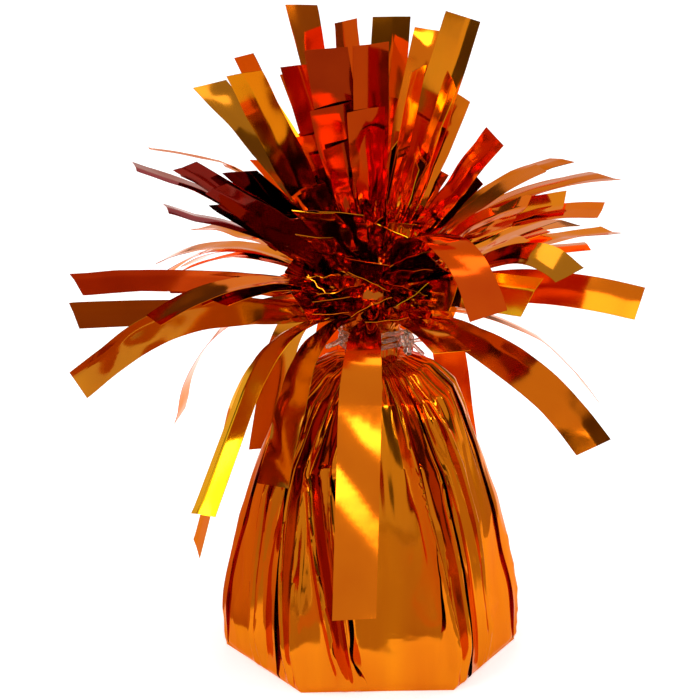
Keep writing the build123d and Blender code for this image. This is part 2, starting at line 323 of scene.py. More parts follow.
# Each long fold: its azimuth at these heights, its rise off the face, how far it laps over,
# how wide it runs out, and the side that it laps to, or 0 along the middle of a dart
FOLD_HEIGHTS = (0, 23, 42, 60)
FOLDS = (
    ((-178, -176, -172, -170), 0.6, 0.8, 4.5, -1),
    ((-163, -164, -159, -153), 1.4, 2.2, 5.0, 1),
    ((-150, -150, -146, -134), 0, 0, 4.0, 0),
    ((-136, -139, -140, -132), 1.2, 1.8, 4.0, -1),
    ((-124, -128, -131, -124), 0, 0, 4.0, 0),
    ((-101, -109, -118, -112), 0, 0, 4.0, 0),
    ((-93, -97, -101, -99), 1.9, 3.0, 4.8, 1),
    ((-70, -69, -72, -80), 1.4, 2.0, 4.5, -1),
    ((-56, -60, -65, -74), 0, 0, 4.0, 0),
    ((-47, -48, -54, -63), 1.4, 2.0, 4.0, 1),
    ((-34, -39, -46, -56), 0, 0, 4.0, 0),
    ((-26, -30, -34, -38), 1.0, 1.4, 4.0, -1),
    ((-2, -8, -10, -12), 0.6, 0.9, 4.5, 1),
    ((30, 24, 20, 22), 1.2, 1.8, 5.0, -1),
    ((60, 56, 54, 50), 1.5, 2.2, 4.5, 1),
    ((92, 88, 84, 86), 1.1, 1.6, 5.0, -1),
    ((121, 118, 120, 116), 1.5, 2.2, 4.5, 1),
    ((150, 146, 142, 140), 1.1, 1.6, 4.5, -1),
)
# the depth and width of the crease that a fold leaves on the side that it doesn't lap to
CREASE_DEPTH = 0.25
CREASE_WIDTH = 1.5
# Open darts, where the film is tucked in on itself: azimuth, half width and depth at the same heights
DARTS = (
    ((-150, -150, -146, -134), (1.2, 1.6, 1.5, 0.8), (0.1, 0.3, 0.6, 0.6)),
    ((-124, -128, -131, -124), (1.2, 1.7, 1.6, 0.8), (0.1, 0.3, 0.6, 0.6)),
    ((-101, -109, -118, -112), (1.4, 2.0, 2.0, 1.0), (0.1, 0.5, 1.0, 0.8)),
    ((-56, -60, -65, -74), (1.4, 2.0, 2.0, 1.0), (0.1, 0.5, 1.0, 0.8)),
    ((-34, -39, -46, -56), (1.0, 1.3, 1.3, 0.8), (0.1, 0.2, 0.6, 0.6)),
)
DART_RIM = 2.1
DART_RIM_SPREAD = 1.0
# each kind of unevenness of the film: its height, its waves per millimetre across and up, and its offset
SWELL = (0.9, 0.07, 0.028, (0, 0))
WRINKLE = (0.7, 0.15, 0.03, (9, 0))
CRINKLE = (0.15, 0.4, 0.12, (0, 0))
RIPPLE = (0.25, 0.13, 0.09, (0, 5))
WRINKLE_LEVEL = 0.25
CRINKLE_REACH = 2.5
# share of the unevenness that the foot has, and the heights at which the film has all of it
FOOT_SHARE = 0.45
UNEVEN_HEIGHT = 16
RIPPLE_HEIGHT = 10
# the least radius that a push is shared over, and the corner radius from which hollows are deep
LEAST_RADIUS = 6.0
DEEP_RADIUS = 13
BAY_COLUMNS = 34
WRAP_ROWS = 158
ROW_DRAW = 0.95
WRAP_SEED = 11


def film_group():
    """Shared look of the film: its tint, its polish and its fine crinkles."""
    group = bpy.data.node_groups.new("film_crinkle", "ShaderNodeTree")
    for name, kind in (("Tint", "NodeSocketColor"), ("Gold", "NodeSocketColor"),
                       ("Patch", "NodeSocketFloat"), ("Crinkle", "NodeSocketFloat"),
                       ("Polish", "NodeSocketFloat"), ("Haze", "NodeSocketFloat"),
                       ("Streak", "NodeSocketVector")):
        group.interface.new_socket(name, in_out="INPUT", socket_type=kind)
    for name, kind in (("Colour", "NodeSocketColor"), ("Roughness", "NodeSocketFloat"),
                       ("Height", "NodeSocketFloat")):
        group.interface.new_socket(name, in_out="OUTPUT", socket_type=kind)
    given = group.nodes.new("NodeGroupInput")
    result = group.nodes.new("NodeGroupOutput")
    where = group.nodes.new("ShaderNodeTexCoord")
    patches = group.nodes.new("ShaderNodeTexNoise")
    patches.inputs["Detail"].default_value = 3
    drawn = group.nodes.new("ShaderNodeVectorMath")
    drawn.operation = "MULTIPLY"
    link(group, where.outputs["Object"], drawn.inputs[0])
    link(group, given.outputs["Streak"], drawn.inputs[1])
    link(group, drawn.outputs["Vector"], patches.inputs["Vector"])
    link(group, given.outputs["Patch"], patches.inputs["Scale"])
    # The patches mix the tint with the gold; streaked upright on the wrap, this mix is painted reflection.
    mix = group.nodes.new("ShaderNodeMix")
    mix.data_type = "RGBA"
    link(group, patches.outputs["Fac"], mix.inputs["Factor"])
    link(group, given.outputs["Tint"], mix.inputs["A"])
    link(group, given.outputs["Gold"], mix.inputs["B"])
    link(group, mix.outputs["Result"], result.inputs["Colour"])
    polish = group.nodes.new("ShaderNodeMapRange")
    link(group, patches.outputs["Fac"], polish.inputs["Value"])
    polish.inputs["From Min"].default_value = 0.3
    polish.inputs["From Max"].default_value = 0.7
    link(group, given.outputs["Polish"], polish.inputs["To Min"])
    link(group, given.outputs["Haze"], polish.inputs["To Max"])
    link(group, polish.outputs["Result"], result.inputs["Roughness"])
    cells = group.nodes.new("ShaderNodeTexVoronoi")
    cells.feature = "DISTANCE_TO_EDGE"
    link(group, where.outputs["Object"], cells.inputs["Vector"])
    link(group, given.outputs["Crinkle"], cells.inputs["Scale"])
    waves = group.nodes.new("ShaderNodeTexNoise")
    waves.inputs["Detail"].default_value = 2
    link(group, where.outputs["Object"], waves.inputs["Vector"])
    link(group, given.outputs["Crinkle"], waves.inputs["Scale"])
    total = math_node(group, "MULTIPLY_ADD")
    total.inputs[1].default_value = 0.6
    link(group, cells.outputs["Distance"], total.inputs[0])
    link(group, waves.outputs["Fac"], total.inputs[2])
    link(group, total.outputs[0], result.inputs["Height"])
    return group


film_crinkle = film_group()


def film_material(name, tint, gold, patch, crinkle, bump,
                  streak=(1, 1, 1), coat=FILM_COAT, edge=FILM_EDGE):
    """Bright metallised film under a clear face."""
    material, tree, shader = new_material(name)
    look = tree.nodes.new("ShaderNodeGroup")
    look.node_tree = film_crinkle
    for socket, value in (("Tint", tint), ("Gold", gold), ("Patch", patch), ("Crinkle", crinkle),
                          ("Polish", FILM_POLISH), ("Haze", FILM_HAZE), ("Streak", streak)):
        look.inputs[socket].default_value = value
    link(tree, look.outputs["Colour"], shader.inputs["Base Color"])
    link(tree, look.outputs["Roughness"], shader.inputs["Roughness"])
    emboss(tree, shader, look.outputs["Height"], bump, CRINKLE_DEPTH)
    shader.inputs["Metallic"].default_value = 1.0
    shader.inputs["Specular Tint"].default_value = edge
    shader.inputs["Coat Weight"].default_value = coat
    shader.inputs["Coat Roughness"].default_value = 0.05
    return material


def add_piece(name, points, faces, material, body, slot, replaced=(), smooth=40):
    """Make a mesh piece, give it its finish and hang it on its body."""
    mesh = bpy.data.meshes.new(name)
    mesh.from_pydata([tuple(point) for point in points], [], faces)
    mesh.materials.append(material)
    mesh.polygons.foreach_set("use_smooth", [True] * len(mesh.polygons))
    mesh.set_sharp_from_angle(angle=radians(smooth))
    piece = bpy.data.objects.new(name, mesh)
    bpy.context.scene.collection.objects.link(piece)
    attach(piece, body)
    if replaced:
        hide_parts(*replaced)
    return piece


def grid_faces(rows, columns, closed):
    """Quads of a grid of points, joined round when closed."""
    faces = []
    last = columns if closed else columns - 1
    for row in range(rows - 1):
        for column in range(last):
            after = (column + 1) % columns
            here = row * columns
            faces.append((here + column, here + after, here + columns + after, here + columns + column))
    return faces


def smoothstep(low, high, value):
    """Ease from 0 at the low value to 1 at the high one."""
    share = np.clip((value - low) / (high - low), 0, 1)
    return share * share * (3 - 2 * share)


def wrap_profile(heights):
    """Corner radius at each height: the bell with its bends eased, and a rounded foot."""
    fine = np.linspace(-PROFILE_MARGIN, NECK + PROFILE_MARGIN, 500)
    bell = np.interp(fine, *zip(*(BELL + ((NECK + PROFILE_MARGIN, PROFILE_END),))))
    spread = np.exp(-(((fine[:, None] - fine[None, :]) / BEND_EASE) ** 2))
    soft = (spread / spread.sum(1)[:, None]) @ bell
    sharp = smoothstep(*SHARP_HEIGHTS, heights)
    radius = np.interp(heights, fine, soft) * (1 - sharp) + np.interp(heights, fine, bell) * sharp
    return radius - FOOT_TUCK * np.clip(1 - heights / FOOT_ROUND, 0, 1) ** 2


def fold_growth(heights):
    """Share of its full rise that a fold has at each height: little at the foot and at the neck."""
    off_foot = 0.12 + 0.88 * smoothstep(-1, 9, heights)
    below_tie = 1 - 0.75 * smoothstep(50, 60, heights)
    return (off_foot * below_tie)[:, None]


def fold_push(away, laps, rise, lap, width, key, heights, growth):
    """Lift and slip of the film at distances from a fold: its lap on one side, a crease on the other."""
    if not laps:
        return -CREASE_DEPTH * growth * np.clip(1 - away / CREASE_WIDTH, 0, 1), np.zeros_like(away)
    rough = np.array([noise.noise(Vector((z * 0.1, key * 7.3, 1.7))) for z in heights])[:, None]
    falling = np.clip(1 - away / width, 0, 1)
    lift = rise * growth * (0.8 + 0.5 * rough) * falling**1.4
    slip = lap * growth * (0.9 + 0.6 * rough) * falling
    return lift, slip


def bay_swell(share, heights, tight, rng):
    """Lift of the film between two folds: one soft swell, with two hollows that deepen to the neck."""
    lift = rng.uniform(0.4, 0.9) * np.sin(pi * share)[None, :] * smoothstep(8, 46, heights)[:, None]
    for spot in (rng.uniform(0.15, 0.42), rng.uniform(0.55, 0.85)):
        begin = rng.uniform(16, 44)
        lean = rng.uniform(-0.2, 0.2) * ((NECK - heights) / 40)[:, None]
        hollow = np.clip(1 - np.abs(share[None, :] - spot - lean) / rng.uniform(0.14, 0.26), 0, 1) ** 1.3
        lift -= rng.uniform(0.7, 1.7) * hollow * smoothstep(begin, NECK - 3, heights)[:, None] * tight
    return lift


def dart_push(angle, corner, heights, growth):
    """How far the darts sink the film, and how far the rims beside them lift it."""
    push = np.zeros_like(angle)
    for path, widths, depths in DARTS:
        middle = np.radians(np.interp(heights, FOLD_HEIGHTS, path))[:, None]
        half_width = np.interp(heights, FOLD_HEIGHTS, widths)[:, None]
        depth = np.interp(heights, FOLD_HEIGHTS, depths)[:, None]
        away = np.abs((angle - middle + pi) % tau - pi) * corner
        push -= depth * np.clip(1 - away / half_width, 0, 1)
        push += DART_RIM * np.exp(-(((away - half_width) / DART_RIM_SPREAD) ** 2)) * growth
    return push


def unevenness(spot, height, across, up, offset):
    """Smooth random rise and fall of the film at a point."""
    place = Vector((spot.x * across + offset[0], spot.y * across + offset[1], spot.z * up))
    return height * noise.noise(place)


def crinkle_film(points, radius, near):
    """Push a bay's points in and out: soft waves all over, and fine crinkles near the folds."""
    for row in range(WRAP_ROWS):
        for column in range(BAY_COLUMNS):
            spot = Vector(points[row, column])
            wrinkle = WRINKLE[0] * WRINKLE_LEVEL - abs(unevenness(spot, *WRINKLE))
            crinkle = unevenness(spot, *CRINKLE) * np.exp(-((near[row, column] / CRINKLE_REACH) ** 2))
            push = unevenness(spot, *SWELL) + wrinkle + crinkle
            push *= min(1.0, FOOT_SHARE + spot.z / UNEVEN_HEIGHT)
            push += unevenness(spot, *RIPPLE) * min(1.0, spot.z / RIPPLE_HEIGHT)
            points[row, column, :2] *= 1 + push / max(LEAST_RADIUS, radius[row, column])


def hold_off_tub(points, heights, hexagon):
    """Keep a bay's points outside the tub."""
    reached = np.hypot(points[:, :, 0], points[:, :, 1])
    tub_face = np.interp(heights, *zip(*BELL))[:, None] * hexagon - TUB_INSET
    held = np.where(heights[:, None] < TUB_TOP, np.maximum(reached, tub_face), reached)
    points[:, :, :2] *= (held / reached)[:, :, None]


def wrap_surface():
    """Points of the film's outer face, row by row from the foot to the neck, bay by bay between folds."""
    rng = np.random.default_rng(WRAP_SEED)
    heights = NECK * np.linspace(0, 1, WRAP_ROWS) ** ROW_DRAW
    share = 0.5 - 0.5 * np.cos(pi * np.linspace(0, 1, BAY_COLUMNS))
    corner = wrap_profile(heights)[:, None]
    gathered = np.clip((heights - SKIRT) / (NECK - SKIRT), 0, 1)[:, None]
    growth = fold_growth(heights)
    tight = np.minimum(1, corner / DEEP_RADIUS)
    bays = []
    for number, (path, *fold, side) in enumerate(FOLDS):
        after_number = (number + 1) % len(FOLDS)
        after_path, *after_fold, after_side = FOLDS[after_number]
        begin = np.radians(np.interp(heights, FOLD_HEIGHTS, path))[:, None]
        end = np.radians(np.interp(heights, FOLD_HEIGHTS, after_path))[:, None]
        end = begin + (end - begin) % tau
        across = (end - begin) * share[None, :]
        reach = across * corner
        back = (end - begin) * corner - reach
        lift, slip = fold_push(reach, side == 1, *fold, number, heights, growth)
        after_lift, after_slip = fold_push(back, after_side == -1, *after_fold, after_number, heights, growth)
        lift = lift + after_lift + bay_swell(share, heights, tight, rng)
        angle = begin + across + (after_slip - slip) / corner
        from_corner = np.abs((angle + pi / 6) % (pi / 3) - pi / 6)
        hexagon = cos(pi / 6) / np.cos(pi / 6 - from_corner)
        worn = CORNER_WEAR * np.exp(-((from_corner * 14) ** 2))
        rounded = hexagon + (GATHERED_ROUND - hexagon) * gathered - worn
        radius = corner * rounded + lift + dart_push(angle, corner, heights, growth)
        z = np.repeat(heights[:, None], BAY_COLUMNS, 1)
        points = np.stack([radius * np.cos(angle), radius * np.sin(angle), z], -1)
        crinkle_film(points, radius, np.minimum(reach, back))
        hold_off_tub(points, heights, hexagon)
        bays.append(points)
    return np.concatenate(bays, 1) * MM


wrap_grid = wrap_surface()
wrap_columns = wrap_grid.shape[1]
wrap_points = np.vstack([wrap_grid.reshape(-1, 3), [(0, 0, 0), (0, 0, NECK * MM)]])
wrap_faces = grid_faces(WRAP_ROWS, wrap_columns, True)
top_row = (WRAP_ROWS - 1) * wrap_columns
foot_middle = WRAP_ROWS * wrap_columns
neck_middle = foot_middle + 1
for column in range(wrap_columns):
    after = (column + 1) % wrap_columns
    wrap_faces.append((after, column, foot_middle))
    wrap_faces.append((top_row + column, top_row + after, neck_middle))
wrap_film = film_material("wrap_film", WRAP_TINT, WRAP_GOLD, patch=150, crinkle=160, bump=0.05,
                          streak=WRAP_REFLECTION_STREAK, coat=0.05)
add_piece("pleated_wrap", wrap_points, wrap_faces, wrap_film, "weight", "wrap_foil", ["foil_wrap"])

# Gathered film
# Above the neck the sheets of film are bunched and held by the tie: sharp, crushed pleats that
# flare to the roots of the fringe.
BUNCH_TINT = (0.42, 0.06, 0.004, 1)
BUNCH_GOLD = (0.6, 0.17, 0.004, 1)
# rise above the neck, and radius
BUNCH = ((0, 5.2), (6, 5.3), (8.5, 6.6), (13, 7.6), (17, 7.4), (20, 5.9), (22.4, 3.6), (23.2, 1.2))
BUNCH_TOP = BUNCH[-1][0]
BUNCH_SINK = 0.3
BUNCH_PLEATS = 17
BUNCH_COLUMNS = 360
BUNCH_ROWS = 110
BUNCH_CRUSH = 0.7
BUNCH_SEED = 5
FILM_CREASE = 25


def bunch_surface():
    """Points of the bunched film from the neck up to its top."""
    rng = np.random.default_rng(BUNCH_SEED)
    rises = np.linspace(0, BUNCH_TOP, BUNCH_ROWS)
    angles = np.linspace(-pi, pi, BUNCH_COLUMNS, endpoint=False)
    z, a = np.meshgrid(rises, angles, indexing="ij")
    radius = np.interp(z, *zip(*BUNCH))
    waist = 1 - 0.6 * np.exp(-((z - 3) / 3) ** 2)
    below_top = smoothstep(0, 3, BUNCH_TOP - z)
    for number in range(BUNCH_PLEATS):
        middle = tau * (number + rng.uniform(-0.35, 0.35)) / BUNCH_PLEATS
        lean = rng.uniform(-0.025, 0.025)
        off = (a - middle - lean * z + pi) % tau - pi
        ridge = np.clip(1 - np.abs(off / (0.7 * tau / BUNCH_PLEATS)), 0, 1)
        depth = rng.uniform(0.3, 1.0) * (0.6 + 0.4 * np.sin(z * rng.uniform(0.3, 0.7) + rng.uniform(0, 6)))
        radius = radius + depth * ridge * waist * below_top
    points = np.stack([radius * np.cos(a), radius * np.sin(a), z + NECK - BUNCH_SINK], -1).reshape(-1, 3)
    for index, point in enumerate(points):
        spot = Vector(point)
        crush = noise.noise(spot * 0.3) * BUNCH_CRUSH
        points[index, :2] *= 1 + crush / max(3.0, (spot.x**2 + spot.y**2) ** 0.5)
    return points * MM


bunch_faces = grid_faces(BUNCH_ROWS, BUNCH_COLUMNS, True)
bunch_faces.append(tuple(reversed(range(BUNCH_COLUMNS))))
bunch_last = (BUNCH_ROWS - 1) * BUNCH_COLUMNS
bunch_faces.append(tuple(range(bunch_last, bunch_last + BUNCH_COLUMNS)))
gather_film = film_material("gather_film", BUNCH_TINT, BUNCH_GOLD, patch=200, crinkle=300, bump=0.1)
add_piece("bunched_film", bunch_surface(), bunch_faces, gather_film, "weight", "gather_foil",
          ["gathered_core"], FILM_CREASE)

# Tie
# A clear elastic, glassy and a little creased, wound three times round the neck. Its ends come out
# of the winding under the knot.
TIE_DARK = (0.86, 0.82, 0.74, 1)
TIE_LIGHT = (0.98, 0.97, 0.94, 1)
TIE_CREASE_DEPTH = 0.2 * MM
TIE_RADIUS = 6.1
TIE_WIRE = 0.46
TIE_TURNS = 3
TIE_RINGS = 300
TIE_SMOOTH = 60
TUBE_SIDES = 10
TUBE_CRIMP = 0.12
# a slanting direction that no stretch of the elastic follows
TUBE_SLANT = (0.31, 0.17, 0.94)
KNOT_AZIMUTH = -28
# how far the ends of the winding stand off the neck, and over what turn, in radians
END_STAND = 1.4
END_SWEEP = 1.2
# half the thickness of the solid's elastic, and so the heights of its first and last turn
SOLID_WIRE = 0.45
tie_low, tie_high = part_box("tie_winding")
TIE_FOOT = tie_low[2] / MM + SOLID_WIRE
TIE_RISE = (tie_high[2] - tie_low[2]) / MM - 2 * SOLID_WIRE


def clear_material(name):
    """Clear, slightly crazed elastic."""
    material, tree, shader = new_material(name)
    crease = mottle(tree, shader, 1500, 4, TIE_DARK, TIE_LIGHT)
    emboss(tree, shader, crease, 0.35, TIE_CREASE_DEPTH)
    shader.inputs["Transmission Weight"].default_value = 0.9
    shader.inputs["IOR"].default_value = 1.47
    shader.inputs["Roughness"].default_value = 0.08
    return material


def tube(path, radius):
    """Points and faces of a closed tube along a path, a little crimped along its length."""
    path = np.array(path)
    rings = len(path)
    run = np.gradient(path, axis=0)
    run /= np.linalg.norm(run, axis=1)[:, None]
    side = np.cross(run, TUBE_SLANT)
    side /= np.linalg.norm(side, axis=1)[:, None]
    other = np.cross(run, side)
    way = np.linspace(0, tau, TUBE_SIDES, endpoint=False)
    ring = np.arange(rings)[:, None]
    thick = radius * (1 + TUBE_CRIMP * np.sin(ring * 0.9 + 2 * np.sin(way + ring * 0.13)))
    points = path[:, None, :] + side[:, None, :] * (thick * np.cos(way))[:, :, None]
    points = points + other[:, None, :] * (thick * np.sin(way))[:, :, None]
    faces = grid_faces(rings, TUBE_SIDES, True)
    faces.append(tuple(reversed(range(TUBE_SIDES))))
    faces.append(tuple(range((rings - 1) * TUBE_SIDES, rings * TUBE_SIDES)))
    return points.reshape(-1, 3) * MM, faces


def around(angle, radius, height):
    """A point about the axis, from degrees and millimetres."""
    return np.array((radius * cos(radians(angle)), radius * sin(radians(angle)), height))


clear_elastic = clear_material("clear_elastic")
winding = []
for ring in range(TIE_RINGS + 1):
    turns = TIE_TURNS * ring / TIE_RINGS
    from_end = min(turns, TIE_TURNS - turns) * tau
    stand = END_STAND * max(0.0, 1 - from_end / END_SWEEP) ** 2
    waver = 0.1 * sin(turns * 23) + 0.08 * sin(turns * 41 + 1)
    height = TIE_FOOT + TIE_RISE * turns / TIE_TURNS + waver
    winding.append(around(KNOT_AZIMUTH + 360 * turns, TIE_RADIUS + stand, height))
add_piece("wound_tie", *tube(winding, TIE_WIRE), clear_elastic, "weight", "clear_tie", ["tie_winding"],
          TIE_SMOOTH)

# Knot
# The same elastic, pulled up on itself in an overhand knot at the right of the neck. Its two cut
# ends stand out beside it, and a small bight of the winding stands out at the left.
KNOT_STEPS = 120
KNOT_WIRE = 0.5
# half sizes of the knot's path along the winding, up and outwards
KNOT_HALVES = (0.32, 0.82, 0.55)
END_STEPS = 24
END_WIRE = 0.4
END_START = 0.4
END_DROOP = 0.6
# sideways lean, rise and length of each cut end
TIE_ENDS = ((0.9, 0.25, 3.4), (0.3, -0.75, 2.6))
BIGHT_STEPS = 60
BIGHT_AZIMUTH = 212
BIGHT_SWING = 14
BIGHT_RADIUS = 6.5
BIGHT_STAND = 1.7
BIGHT_LEVEL = 0.55
BIGHT_RISE = 1.2

knot_low, knot_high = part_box("tie_knot")
knot_middle = (np.array(knot_low) + np.array(knot_high)) / 2 / MM
knot_out = around(KNOT_AZIMUTH, 1, 0)
knot_along = around(KNOT_AZIMUTH + 90, 1, 0)
knot_up = np.array((0, 0, 1.0))
knot_path = []
for step in range(KNOT_STEPS + 1):
    t = tau * step / KNOT_STEPS
    along, up, out = KNOT_HALVES
    knot_path.append(knot_middle + knot_along * along * (sin(t) + 2 * sin(2 * t))
                     + knot_up * up * (cos(t) - 2 * cos(2 * t)) + knot_out * out * sin(3 * t))
add_piece("pulled_knot", *tube(knot_path, KNOT_WIRE), clear_elastic, "weight", "clear_tie", ["tie_knot"],
          TIE_SMOOTH)

for number, (lean, rise, length) in enumerate(TIE_ENDS, start=1):
    end_path = []
    for step in range(END_STEPS + 1):
        t = step / END_STEPS
        end_path.append(knot_middle + knot_out * (END_START + length * t) + knot_along * lean * length * t * t
                        + knot_up * (rise * length * t - END_DROOP * t * t))
    add_piece(f"tie_end_{number}", *tube(end_path, END_WIRE), clear_elastic, "weight", "clear_tie", (),
              TIE_SMOOTH)

bight_path = []
for step in range(BIGHT_STEPS + 1):
    t = tau * step / BIGHT_STEPS
    height = TIE_FOOT + TIE_RISE * BIGHT_LEVEL + BIGHT_RISE * sin(t + 0.6)
    stand = BIGHT_STAND * (1 - cos(t))
    bight_path.append(around(BIGHT_AZIMUTH + BIGHT_SWING * sin(t), BIGHT_RADIUS + stand, height))
add_piece("tie_bight", *tube(bight_path, END_WIRE), clear_elastic, "weight", "clear_tie", (), TIE_SMOOTH)

# Fringe
# Strips cut in the edges of the gathered sheets, about eight millimetres wide. Each is crushed at its
# root, opens to its full width, and keeps the bend and the small creases that handling gave it.
STRIP_WIDTH = 8 * MM
STRIP_STEP = 1.2 * MM
STRIP_ACROSS = 13
STRIP_FILM = 0.1 * MM
STRIP_CREASES = 3
MOST_STATIONS = 90
FEWEST_STATIONS = 8
TIP_NEIGHBOURS = 8
# how closely the width has to fit at a tip, and how far the slices may lie off the strip's face and edge
TIP_FIT = 0.006 * MM
FACE_FIT = 0.6 * MM
EDGE_FIT = 0.5 * MM
ROOT_TUCK = 1.2 * MM
# the lengths at which a strip begins to open and is open, and the bulge between
OPEN_FROM = 2 * MM
OPEN_AT = 15 * MM
BULGE = 0.3
BULGE_LENGTH = 17 * MM
FRINGE_SEED = 100

# The strips are all cut from one orange film; their shades are painted reflection and shade. Each: tint,
# gold, coat, edge, and the strips.
# Strips that aren't named here are orange.
PAINTED_STRIP_SHADES = {
    "orange": ((0.87, 0.21, 0.003, 1), (0.92, 0.29, 0.004, 1), FILM_COAT, FILM_EDGE, ()),
    "gold": ((0.92, 0.4, 0.004, 1), (0.96, 0.5, 0.006, 1), FILM_COAT, FILM_EDGE,
             ("crown_strip_11", "top_strip_01", "middle_strip_07", "lower_strip_04", "lower_strip_05")),
    "amber": ((0.66, 0.12, 0.003, 1), (0.76, 0.18, 0.004, 1), 0.03, FILM_EDGE,
              ("crown_strip_02", "top_strip_02", "top_strip_04", "upper_strip_04", "middle_strip_06",
               "lower_strip_07", "lower_strip_09")),
    "red": ((0.84, 0.14, 0.003, 1), (0.9, 0.2, 0.003, 1), FILM_COAT, FILM_EDGE,
            ("crown_strip_05", "top_strip_05", "upper_strip_05", "middle_strip_02", "middle_strip_03",
             "lower_strip_03")),
    "ruby": ((0.58, 0.045, 0.002, 1), (0.7, 0.09, 0.003, 1), 0.03, FILM_EDGE,
             ("crown_strip_04", "crown_strip_07", "crown_strip_09", "upper_strip_09")),
    "brown": ((0.34, 0.11, 0.003, 1), (0.54, 0.18, 0.004, 1), FILM_COAT, FILM_EDGE,
              ("upper_strip_01", "middle_strip_05", "lower_strip_02", "lower_strip_06", "lower_strip_14")),
    "maroon": ((0.16, 0.012, 0.004, 1), (0.32, 0.03, 0.006, 1), 0.3, (0.8, 0.3, 0.2, 1),
               ("upper_strip_02", "upper_strip_03")),
    "umber": ((0.22, 0.05, 0.002, 1), (0.3, 0.08, 0.003, 1), 0.03, FILM_EDGE, ("lower_strip_01",)),
    "russet": ((0.3, 0.018, 0.002, 1), (0.5, 0.05, 0.003, 1), 0.03, FILM_EDGE,
               ("crown_strip_08", "middle_strip_01")),
}
# painted shades of which no layer is orange
WHOLE_PAINTED_SHADES = ("maroon", "russet", "ruby")
# Leaves that the solids have beside their strips: turn, lift and share of the strip's length
SIDE_LEAVES = {
    "upper_strip_02": ((5, -9, 0.8), (-7, 3, 0.65)),
    "upper_strip_03": ((7, 7, 0.8), (-7, -5, 0.7)),
    "upper_strip_04": ((7, 5, 0.85), (-5, 9, 0.7)),
    "upper_strip_05": ((5, 3, 0.85), (-7, 7, 0.7)),
    "upper_strip_06": ((5, -9, 0.7),),
    "upper_strip_07": ((-5, 7, 0.8), (-5, -9, 0.65)),
    "upper_strip_08": ((-5, -7, 0.8), (-7, 3, 0.65)),
    "upper_strip_10": ((7, 5, 0.8), (-7, -5, 0.7)),
    "middle_strip_04": ((5, 3, 0.7), (-5, -3, 0.85)),
    "middle_strip_08": ((5, 3, 0.8), (5, -7, 0.7)),
}
# Layers of film beside a strip: many on the thick ones, none on the lone ones or on the lowest tier
THICK_STRIPS = ("upper_strip_02", "upper_strip_03", "upper_strip_04", "upper_strip_05", "middle_strip_04",
                "middle_strip_08", "middle_strip_02")
LONE_STRIPS = ("crown_strip_05", "upper_strip_09", "middle_strip_05", "middle_strip_06")
THICK_LAYERS = 4
LAYERS = 2
CROWN_SPREAD = 0.5
SPREAD = 0.75

body_of_node = {}
for body, names in frame["record"]["behaviour"]["bodies"].items():
    for name in names:
        body_of_node[name] = body
bunch_low, bunch_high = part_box("gathered_core")
bunch_middle = np.array([0.0, 0.0, bunch_low[2] * 0.3 + bunch_high[2] * 0.7])


def solid_tip(verts):
    """Middle and half width of a strip's tip, and the way from there into the strip."""
    corner = verts[np.linalg.norm(verts - bunch_middle, axis=1).argmax()]
    from_corner = np.linalg.norm(verts - corner, axis=1)
    corners = verts[np.abs(from_corner - STRIP_WIDTH) < TIP_FIT]
    farthest = corners[np.linalg.norm(corners - bunch_middle, axis=1).argmax()]
    beside = corners[np.linalg.norm(corners - farthest, axis=1) < MM].mean(0)
    half = (beside - corner) / 2
    place = corner + half
    from_tip = np.linalg.norm(verts - place, axis=1)
    next_in = np.argsort(np.where(from_tip > STRIP_WIDTH, from_tip, np.inf))[:TIP_NEIGHBOURS]
    inward = verts[next_in].mean(0) - place
    inward -= half * (inward @ half) / (half @ half)
    return place, half, inward / np.linalg.norm(inward)


def strip_stations(solid):
    """Middle and half width of a strip at even steps from its root, found by slicing it from the tip."""
    mesh = solid.data
    verts = np.empty(len(mesh.vertices) * 3)
    mesh.vertices.foreach_get("co", verts)
    verts = verts.reshape(-1, 3)
    edges = np.empty(len(mesh.edges) * 2, dtype=int)
    mesh.edges.foreach_get("vertices", edges)
    start, end = verts[edges.reshape(-1, 2)].transpose(1, 0, 2)
    place, half, ahead = solid_tip(verts)
    stations = [(place, half)]
    while len(stations) < MOST_STATIONS:
        spot = place + ahead * (STRIP_STEP if len(stations) > 1 else STRIP_STEP / 4)
        width = np.linalg.norm(half)
        face = np.cross(ahead, half / width)
        before = (start - spot) @ ahead
        after = (end - spot) @ ahead
        cross = (before * after) < 0
        cut = start[cross] + (end[cross] - start[cross]) * (before / (before - after + 1e-15))[cross, None]
        off = cut - spot
        cut = cut[(np.abs(off @ face) < FACE_FIT) & (np.abs(off @ half) / width < width + EDGE_FIT)]
        if len(cut) < 4:
            break
        along = (cut - spot) @ half / width
        low, high = cut[along.argmin()], cut[along.argmax()]
        half = (high - low) / 2
        centre = (low + high) / 2
        ahead = (centre - place) / np.linalg.norm(centre - place)
        place = centre
        stations.append((centre, half))
    return stations[::-1]


def eased(values, rounds):
    """Even out a run of points, keeping its ends."""
    values = np.array(values)
    for _ in range(rounds):
        values[1:-1] = (values[:-2] + 2 * values[1:-1] + values[2:]) / 4
    return values


